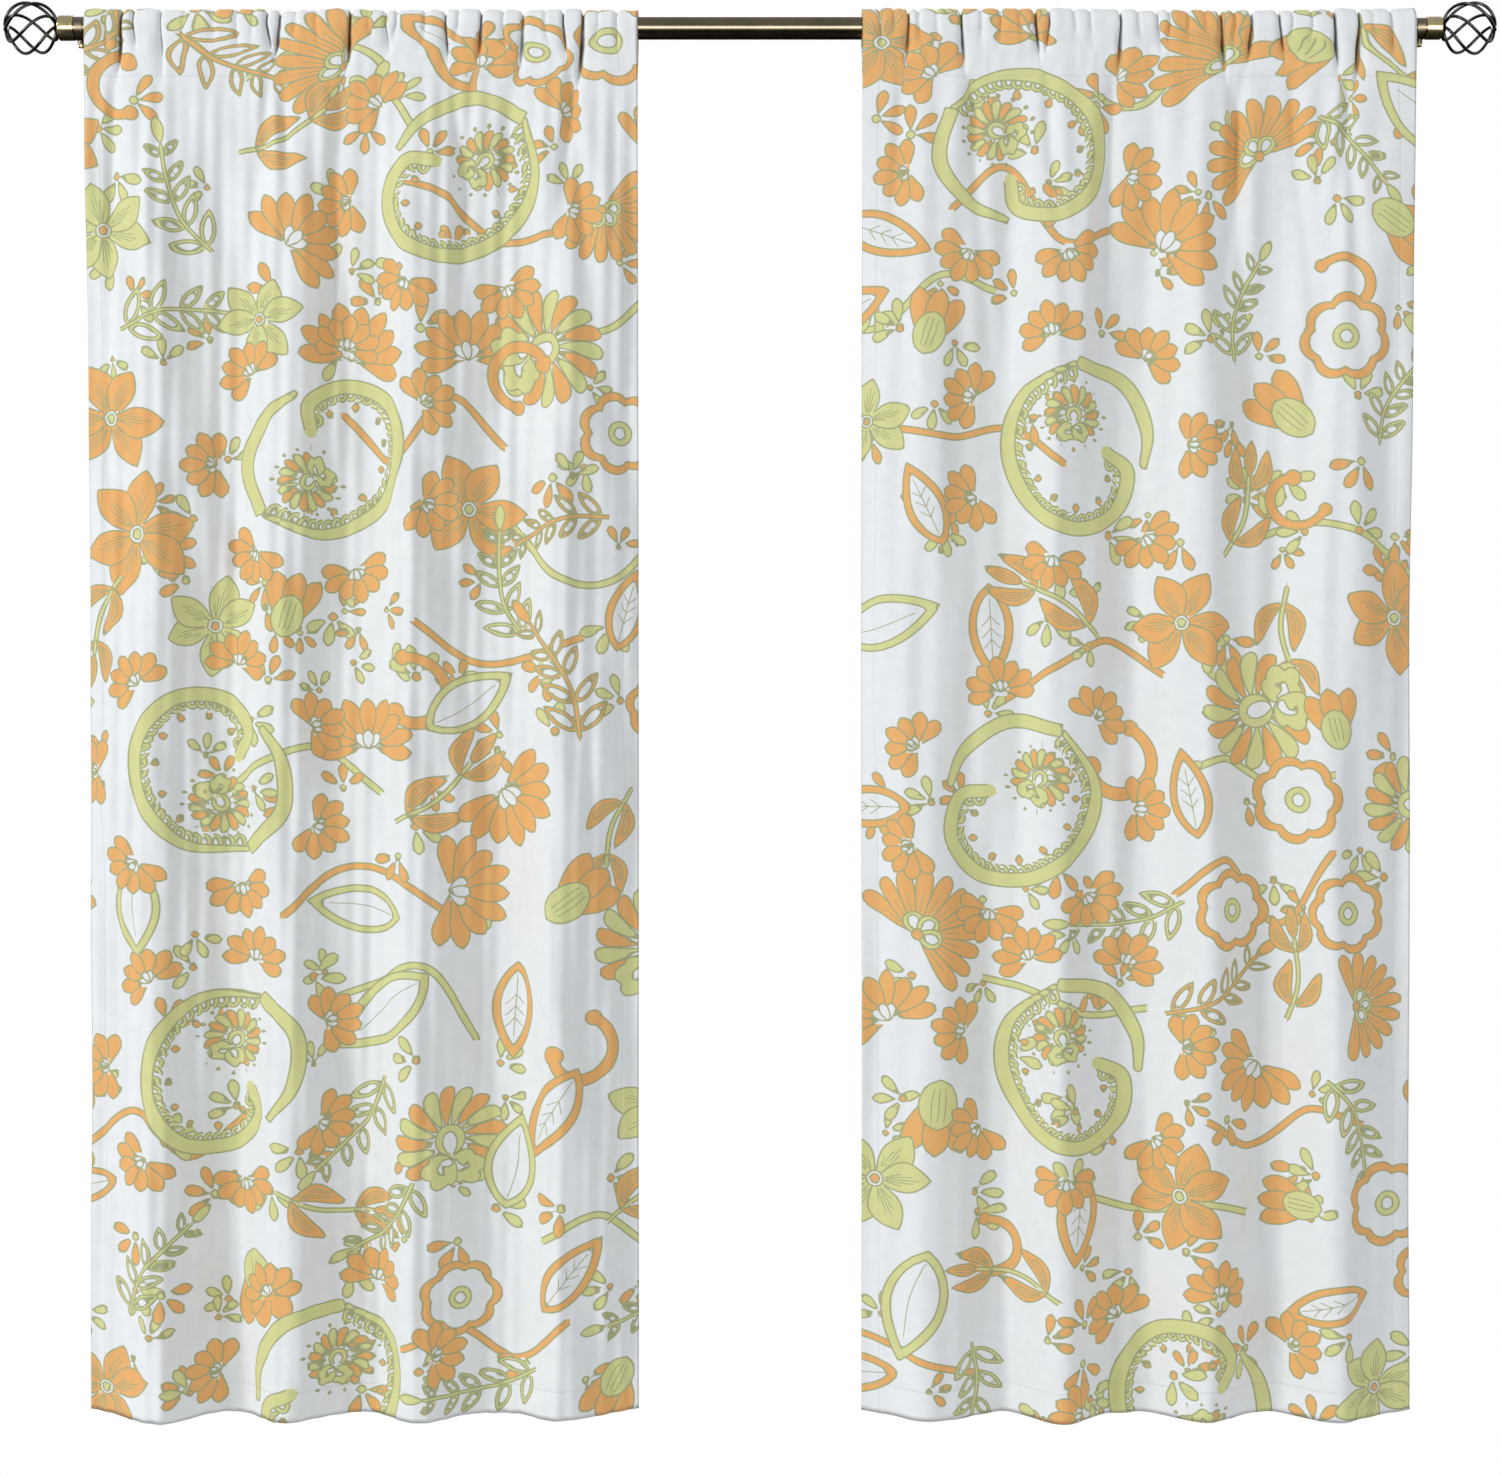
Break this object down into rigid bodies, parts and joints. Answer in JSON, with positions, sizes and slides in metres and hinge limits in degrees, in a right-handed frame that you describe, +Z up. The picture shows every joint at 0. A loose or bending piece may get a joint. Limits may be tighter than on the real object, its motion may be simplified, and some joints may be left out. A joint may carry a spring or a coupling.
{
  "type": "window curtains on a rod",
  "caption": "Printed rod-pocket curtain panels gathered on a telescopic rod with twisted-wire cage-ball finials and wall brackets.",
  "frame": {"origin": "centre of the left wall plate's back face, on the wall", "axes": "+X to the right along the rod, +Y into the wall, +Z up; the curtains hang on the -Y side"},
  "size_m": [1.6944, 0.1352, 1.6087],
  "materials": {
    "bronze": "glossy dark antique bronze lacquer on steel",
    "antique_brass": "glossy antique brass",
    "black_iron": "satin black with a bronze cast",
    "zinc": "zinc plated",
    "nylon": "plain",
    "printed_fabric": "plain-weave cotton blend, printed in orange and light green on white"
  },
  "bodies": {
    "rod": {"rod_outer_tube": "bronze", "left_end_plug": "nylon", "left_bracket_arm": "bronze", "left_wall_plate": "bronze", "left_upper_screw": "zinc", "left_lower_screw": "zinc"},
    "rod_extension": {"rod_inner_tube": "bronze", "inner_tube_guide_plug": "nylon", "right_end_plug": "nylon", "right_bracket_arm": "bronze", "right_wall_plate": "bronze", "right_upper_screw": "zinc", "right_lower_screw": "zinc"},
    "left_clamp": {"left_clamp_screw": "bronze"},
    "left_finial": {"left_finial_collar": "antique_brass", "left_finial_stud": "zinc", "left_finial_neck": "black_iron", "left_finial_tip": "black_iron", "left_finial_wire_1": "black_iron", "left_finial_wire_2": "black_iron", "left_finial_wire_3": "black_iron", "left_finial_wire_4": "black_iron", "left_finial_wire_5": "black_iron", "left_finial_wire_6": "black_iron"},
    "left_curtain": {"left_pocket_1": "printed_fabric", "left_fold_1": "printed_fabric"},
    "left_curtain_2": {"left_pocket_2": "printed_fabric", "left_fold_2": "printed_fabric"},
    "left_curtain_3": {"left_pocket_3": "printed_fabric", "left_fold_3": "printed_fabric"},
    "left_curtain_4": {"left_pocket_4": "printed_fabric", "left_fold_4": "printed_fabric"},
    "left_curtain_edge": {"left_pocket_5": "printed_fabric", "left_fold_5": "printed_fabric"},
    "right_clamp": {"right_clamp_screw": "bronze"},
    "right_finial": {"right_finial_collar": "antique_brass", "right_finial_stud": "zinc", "right_finial_neck": "black_iron", "right_finial_tip": "black_iron", "right_finial_wire_1": "black_iron", "right_finial_wire_2": "black_iron", "right_finial_wire_3": "black_iron", "right_finial_wire_4": "black_iron", "right_finial_wire_5": "black_iron", "right_finial_wire_6": "black_iron"},
    "right_curtain": {"right_pocket_1": "printed_fabric", "right_fold_1": "printed_fabric"},
    "right_curtain_2": {"right_pocket_2": "printed_fabric", "right_fold_2": "printed_fabric"},
    "right_curtain_3": {"right_pocket_3": "printed_fabric", "right_fold_3": "printed_fabric"},
    "right_curtain_4": {"right_pocket_4": "printed_fabric", "right_fold_4": "printed_fabric"},
    "right_curtain_edge": {"right_pocket_5": "printed_fabric", "right_fold_5": "printed_fabric"}
  },
  "joints": [
    {"name": "rod_extend", "type": "slide", "parent": "rod", "child": "rod_extension", "axis": [1, 0, 0], "range_m": [0, 0.45]},
    {"name": "left_finial_turn", "type": "hinge", "parent": "rod", "child": "left_finial", "pos_m": [-0.0563, -0.08, 0.004], "axis": [-1, 0, 0], "continuous": true},
    {"name": "left_clamp_turn", "type": "hinge", "parent": "rod", "child": "left_clamp", "pos_m": [0, -0.08, -0.02], "axis": [0, 0, -1], "continuous": true},
    {"name": "left_curtain_slide", "type": "slide", "parent": "rod", "child": "left_curtain", "axis": [1, 0, 0], "range_m": [0, 0.126]},
    {"name": "left_gather", "type": "slide", "parent": "left_curtain", "child": "left_curtain_edge", "axis": [-1, 0, 0], "range_m": [0, 0.4]},
    {"name": "left_gather_2", "type": "slide", "parent": "left_curtain", "child": "left_curtain_2", "axis": [-1, 0, 0], "range_m": [0, 0.1]},
    {"name": "left_gather_3", "type": "slide", "parent": "left_curtain", "child": "left_curtain_3", "axis": [-1, 0, 0], "range_m": [0, 0.2]},
    {"name": "left_gather_4", "type": "slide", "parent": "left_curtain", "child": "left_curtain_4", "axis": [-1, 0, 0], "range_m": [0, 0.3]},
    {"name": "right_finial_turn", "type": "hinge", "parent": "rod_extension", "child": "right_finial", "pos_m": [1.5763, -0.08, 0.004], "axis": [1, 0, 0], "continuous": true},
    {"name": "right_clamp_turn", "type": "hinge", "parent": "rod_extension", "child": "right_clamp", "pos_m": [1.52, -0.08, -0.02], "axis": [0, 0, -1], "continuous": true},
    {"name": "right_curtain_slide", "type": "slide", "parent": "rod_extension", "child": "right_curtain", "axis": [-1, 0, 0], "range_m": [0, 0.126]},
    {"name": "right_gather", "type": "slide", "parent": "right_curtain", "child": "right_curtain_edge", "axis": [1, 0, 0], "range_m": [0, 0.4]},
    {"name": "right_gather_2", "type": "slide", "parent": "right_curtain", "child": "right_curtain_2", "axis": [1, 0, 0], "range_m": [0, 0.1]},
    {"name": "right_gather_3", "type": "slide", "parent": "right_curtain", "child": "right_curtain_3", "axis": [1, 0, 0], "range_m": [0, 0.2]},
    {"name": "right_gather_4", "type": "slide", "parent": "right_curtain", "child": "right_curtain_4", "axis": [1, 0, 0], "range_m": [0, 0.3]}
  ],
  "couplings": [
    {"joint": "left_gather_2", "follows": "left_gather", "ratio": 0.25},
    {"joint": "left_gather_3", "follows": "left_gather", "ratio": 0.5},
    {"joint": "left_gather_4", "follows": "left_gather", "ratio": 0.75},
    {"joint": "right_gather_2", "follows": "right_gather", "ratio": 0.25},
    {"joint": "right_gather_3", "follows": "right_gather", "ratio": 0.5},
    {"joint": "right_gather_4", "follows": "right_gather", "ratio": 0.75}
  ]
}
